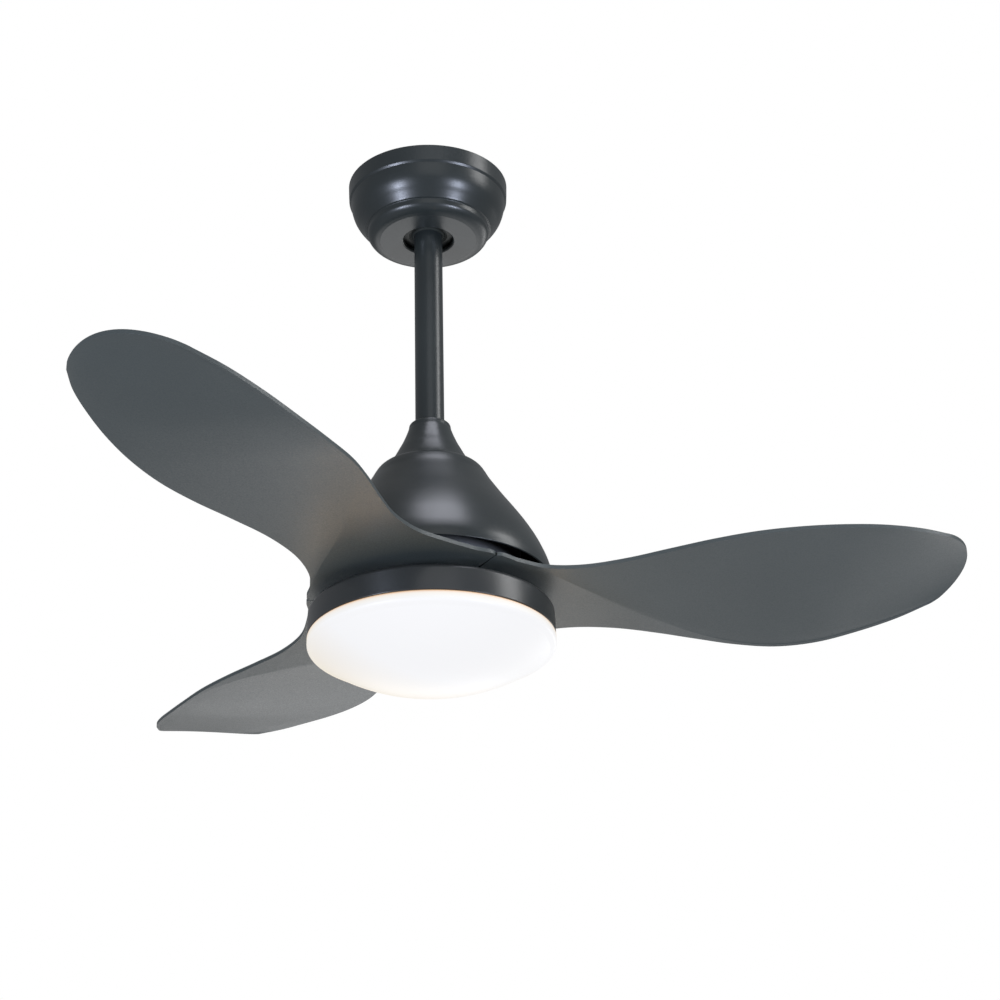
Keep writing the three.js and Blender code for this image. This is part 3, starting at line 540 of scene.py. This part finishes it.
# ------------------------------------------------------------------ blades
# A blade's frame: X out along its centre line, Y across it. The outline's two edges and the fold
# between the flat root and the pitched paddle are smooth lines through paired points.
def seam_point(radius, side):
    """A point of the blade's outline on the seam with its neighbour."""
    cosine, sine = math.cos(math.pi / BLADE_COUNT), math.sin(math.pi / BLADE_COUNT)
    return (radius * cosine + SEAM_GAP / 2 * sine, side * (radius * sine - SEAM_GAP / 2 * cosine), 38)


HIGH_EDGE = [
    seam_point(BLADE_BORE, -1), seam_point(66, -1), seam_point(ROOT_RADIUS, -1), (75, -80.4, 38),
    (100, -65.6, 38.8), (132, -58.6, 41.9), (169, -62.4, 46.1), (207, -74, 50.1), (245, -86.4, 53.6),
    (282, -94.5, 56.9), (320, -96.3, 60.3), (358, -92.7, 63.8), (395, -84.7, 67), (430, -73, 68.8),
    (456, -59.5, 69.8),
]
LOW_EDGE = [
    seam_point(BLADE_BORE, 1), seam_point(66, 1), seam_point(ROOT_RADIUS, 1), (75, 84, 37.7),
    (100, 72.2, 37.7), (132, 61.7, 36.7), (169, 61.1, 35.4), (207, 69.5, 34.1), (245, 80.2, 32.3),
    (282, 88.6, 30.1), (320, 91.3, 28.8), (358, 88.3, 31.8), (395, 80.3, 38.8), (430, 68.5, 46.8),
    (458, 53.5, 54.5),
]
FOLD = [
    (12, -16, 38), (36, -48, 38), (62, -78, 38), (84, -70, 38), (106, -52, 37.9), (137, -20, 37.5),
    (173, 14, 36.6), (211, 44, 34.7), (248, 69, 32.6), (282, 83, 30.6), (318, 87, 29.4),
    (357, 84, 32.5), (394, 76, 39.5), (430, 63.5, 47.6), (459, 46, 55.5),
]


def blade_sheet():
    """The blade's underside as a fine grid, softened where it folds."""
    per_span = 8
    across_count = 48
    fold_column = 30
    lines = [smooth_line(line, per_span) for line in (HIGH_EDGE, FOLD, LOW_EDGE)]
    along_count = len(lines[0]) - 1
    bm = bmesh.new()
    bmesh.ops.create_grid(bm, x_segments=along_count, y_segments=across_count, size=0.5)
    for vert in bm.verts:
        row = round((vert.co.x + 0.5) * along_count)
        column = round((vert.co.y + 0.5) * across_count)
        high, fold, low = (line[row] for line in lines)
        if column <= fold_column:
            place = high.lerp(fold, column / fold_column)
        else:
            place = fold.lerp(low, (column - fold_column) / (across_count - fold_column))
        across = (place.y - high.y) / (low.y - high.y)
        crown = max(0.0, 4 * across * (1 - across))
        along = row / along_count
        ramp = min(max((along - 0.8) / 0.2, 0), 1)
        near_tip = ramp ** 2 * (3 - 2 * ramp)
        place.x += BLADE_BORE / 2 * max(0, 1 - along * 7) * crown
        place.x += (TIP_RADIUS - 457) * near_tip * crown ** 0.85
        place.z += TIP_LIFT * near_tip * crown
        vert.co = place
    inner = [v for v in bm.verts if not v.is_boundary]
    for _ in range(3):
        bmesh.ops.smooth_vert(bm, verts=inner, factor=0.5, use_axis_x=False, use_axis_y=False,
                              use_axis_z=True)
    return bm


def is_upright(edge):
    """True for the short edges that join the blade's underside to its top."""
    rise = edge.verts[1].co - edge.verts[0].co
    return abs(rise.z) > BLADE_THICKNESS * 0.9 and len(edge.link_faces) == 2


def is_rim(edge, faces_down):
    """True for an edge between the blade's side and its underside, or its top."""
    if len(edge.link_faces) != 2:
        return False
    slopes = sorted((face.normal.z for face in edge.link_faces), key=abs)
    return abs(slopes[0]) < 0.5 and abs(slopes[1]) > 0.8 and (slopes[1] < 0) == faces_down


def on_seam(edge):
    """True for an edge that lies on one of the two cuts between blade roots."""
    for side in (-1, 1):
        out = Matrix.Rotation(math.radians(side * 60), 3, "Z") @ Vector((0, side, 0))
        if all(abs(out.dot(v.co) + SEAM_GAP / 2) < 0.05 for v in edge.verts):
            return True
    return False


def blade_body():
    """The sheet cut along the two seams, given its thickness and its rounded edges."""
    bm = blade_sheet()
    for side in (-1, 1):
        out = Matrix.Rotation(math.radians(side * 60), 3, "Z") @ Vector((0, side, 0))
        bmesh.ops.bisect_plane(bm, geom=[*bm.verts, *bm.edges, *bm.faces], dist=1e-4,
                               plane_co=out * (-SEAM_GAP / 2), plane_no=out, clear_outer=True)
    top = bmesh.ops.extrude_face_region(bm, geom=list(bm.faces), use_keep_orig=True)["geom"]
    lifted = [v for v in top if isinstance(v, bmesh.types.BMVert)]
    bmesh.ops.translate(bm, vec=(0, 0, BLADE_THICKNESS), verts=lifted)
    bmesh.ops.recalc_face_normals(bm, faces=bm.faces)
    bevel_options = {"offset_type": "OFFSET", "profile": 0.5, "affect": "EDGES", "material": -1,
                     "clamp_overlap": True}
    root_corners = [e for e in bm.edges if is_upright(e) and e.calc_face_angle() > math.radians(40)]
    bmesh.ops.bevel(bm, geom=root_corners, offset=2.2, segments=5, **bevel_options)
    for faces_down, offset in ((True, 2.0), (False, 0.9)):
        rim = [e for e in bm.edges if is_rim(e, faces_down) and not on_seam(e)]
        bmesh.ops.bevel(bm, geom=rim, offset=offset, segments=4, **bevel_options)
    return bm


def make_blades():
    """The same blade three times, a third of a turn apart."""
    bm = blade_body()
    pattern = bpy.data.meshes.new("blade_pattern")
    bm.to_mesh(pattern)
    bm.free()
    for blade in range(BLADE_COUNT):
        turn = math.radians(BLADE_PARK_ANGLE + blade * 360 / BLADE_COUNT)
        bm = bmesh.new()
        bm.from_mesh(pattern)
        bmesh.ops.transform(bm, verts=bm.verts,
                            matrix=Matrix.Translation((0, 0, RING_FOOT)) @ Matrix.Rotation(turn, 4, "Z"))
        stand_in(f"fan_blade_{blade + 1}", bm, f"blade_{blade + 1}", sharp_degrees=60)
    bpy.data.meshes.remove(pattern)


# ------------------------------------------------------------------ everything else in the frame
def dress_cad_nodes():
    """The CAD pieces that keep their own shape take their finish from their material slot."""
    for name, piece in frame["nodes"].items():
        finish = FINISH_OF_SLOT[SLOT_OF_NODE[name]]
        piece.data.materials.clear()
        piece.data.materials.append(finish)


# ------------------------------------------------------------------ studio
def look_from(place, target):
    """The turn that points a lamp at place towards target."""
    return (Vector(target) - Vector(place)).to_track_quat("-Z", "Y").to_euler()


def soft_box(name, place, target, size, power, colour="#ffffff"):
    data = bpy.data.lights.new(name, "AREA")
    data.shape = "RECTANGLE"
    data.size, data.size_y = size
    data.energy = power
    data.color = linear(colour)[:3]
    lamp = bpy.data.objects.new(name, data)
    lamp.location = place
    lamp.rotation_euler = look_from(place, target)
    bpy.context.scene.collection.objects.link(lamp)
    return lamp


def make_lamp_spill():
    """The warm light that leaves the lamp's rim and grazes the blades' roots from below."""
    radius = 0.122
    drop = 0.012
    count = 12
    for i in range(count):
        turn = math.tau * i / count
        out = Vector((math.cos(turn), math.sin(turn), 0))
        place = out * radius + Vector((0, 0, RING_FOOT * MM - drop))
        lamp = soft_box(f"lamp_spill_{i + 1}", place, place + out + Vector((0, 0, 0.7)), (0.06, 0.012),
                        0.010, "#ffd6a2")
        lamp.visible_camera = False


def make_studio():
    bm = bmesh.new()
    bmesh.ops.create_grid(bm, x_segments=1, y_segments=1, size=6)
    mesh = bpy.data.meshes.new("studio_floor")
    bm.to_mesh(mesh)
    bm.free()
    floor = bpy.data.objects.new("studio_floor", mesh)
    floor.location = (0, 0, -3.6)
    mesh.materials.append(coated("pale_floor", "#f4f4f2", "#f1f1ef", 0.8, 3, 0.02))
    bpy.context.scene.collection.objects.link(floor)

    world = bpy.data.worlds.new("white_studio")
    world.use_nodes = True
    tree = world.node_tree
    tree.nodes.clear()
    ambient = node(tree, "ShaderNodeBackground", {"Color": linear("#fbfcff"), "Strength": 0.27})
    backdrop = node(tree, "ShaderNodeBackground", {"Color": (1, 1, 1, 1), "Strength": 1.0})
    ray = node(tree, "ShaderNodeLightPath")
    mix = node(tree, "ShaderNodeMixShader", {}, Fac=ray.outputs["Is Camera Ray"])
    tree.links.new(ambient.outputs["Background"], mix.inputs[1])
    tree.links.new(backdrop.outputs["Background"], mix.inputs[2])
    node(tree, "ShaderNodeOutputWorld", Surface=mix.outputs["Shader"])
    bpy.context.scene.world = world

    head = (0, 0, -0.42)
    high = (0, 0, -0.1)
    soft_box("overhead", (0.3, -0.9, 2.0), head, (1.3, 1.3), 32, "#f1f3ff")
    soft_box("backdrop_glow", (0.9, 3.0, -1.6), head, (4.6, 2.4), 22)
    soft_box("backdrop_right", (1.9, 2.4, -0.9), head, (1.6, 0.9), 9)
    soft_box("front_left", (-1.6, -1.5, -1.25), high, (0.5, 0.5), 42, "#dfe8ff")
    soft_box("front_right", (1.6, -1.5, -1.15), high, (0.5, 0.5), 34, "#dfe8ff")
    soft_box("front_fill", (0.3, -3.4, 0.6), head, (2.4, 2.4), 12)
    far_glow = soft_box("far_blade_glow", (0.0, 1.25, -0.72), (-0.2, 0.3, -0.43), (0.6, 0.4), 0.95)
    far_glow.visible_camera = False
    soft_box("right_high", (2.4, -0.6, 0.9), (0, 0, -0.2), (0.9, 1.4), 24)
    make_lamp_spill()
    bpy.context.scene.view_settings.view_transform = "Standard"


def make_camera():
    """Below the fan and in front of it, looking up."""
    data = bpy.data.cameras.new("camera")
    data.sensor_width = 36
    data.lens = CAMERA_LENS
    camera = bpy.data.objects.new("camera", data)
    pan, pitch, roll = (math.radians(a) for a in CAMERA_TURN)
    forward = Vector((math.sin(pan) * math.cos(pitch), math.cos(pan) * math.cos(pitch), math.sin(pitch)))
    right = forward.cross(Vector((0, 0, 1))).normalized()
    up = right.cross(forward)
    level_right = right * math.cos(roll) + up * math.sin(roll)
    level_up = up * math.cos(roll) - right * math.sin(roll)
    facing = Matrix((level_right, level_up, -forward)).transposed()
    camera.matrix_world = Matrix.Translation(Vector(CAMERA_PLACE)) @ facing.to_4x4()
    bpy.context.scene.collection.objects.link(camera)
    bpy.context.scene.camera = camera


make_camera()
dress_cad_nodes()
make_canopy()
make_rod()
make_ball()
make_rod_cover()
make_motor_cover()
make_ring()
make_diffuser()
make_blades()
make_screws()
make_inner_parts()
make_studio()
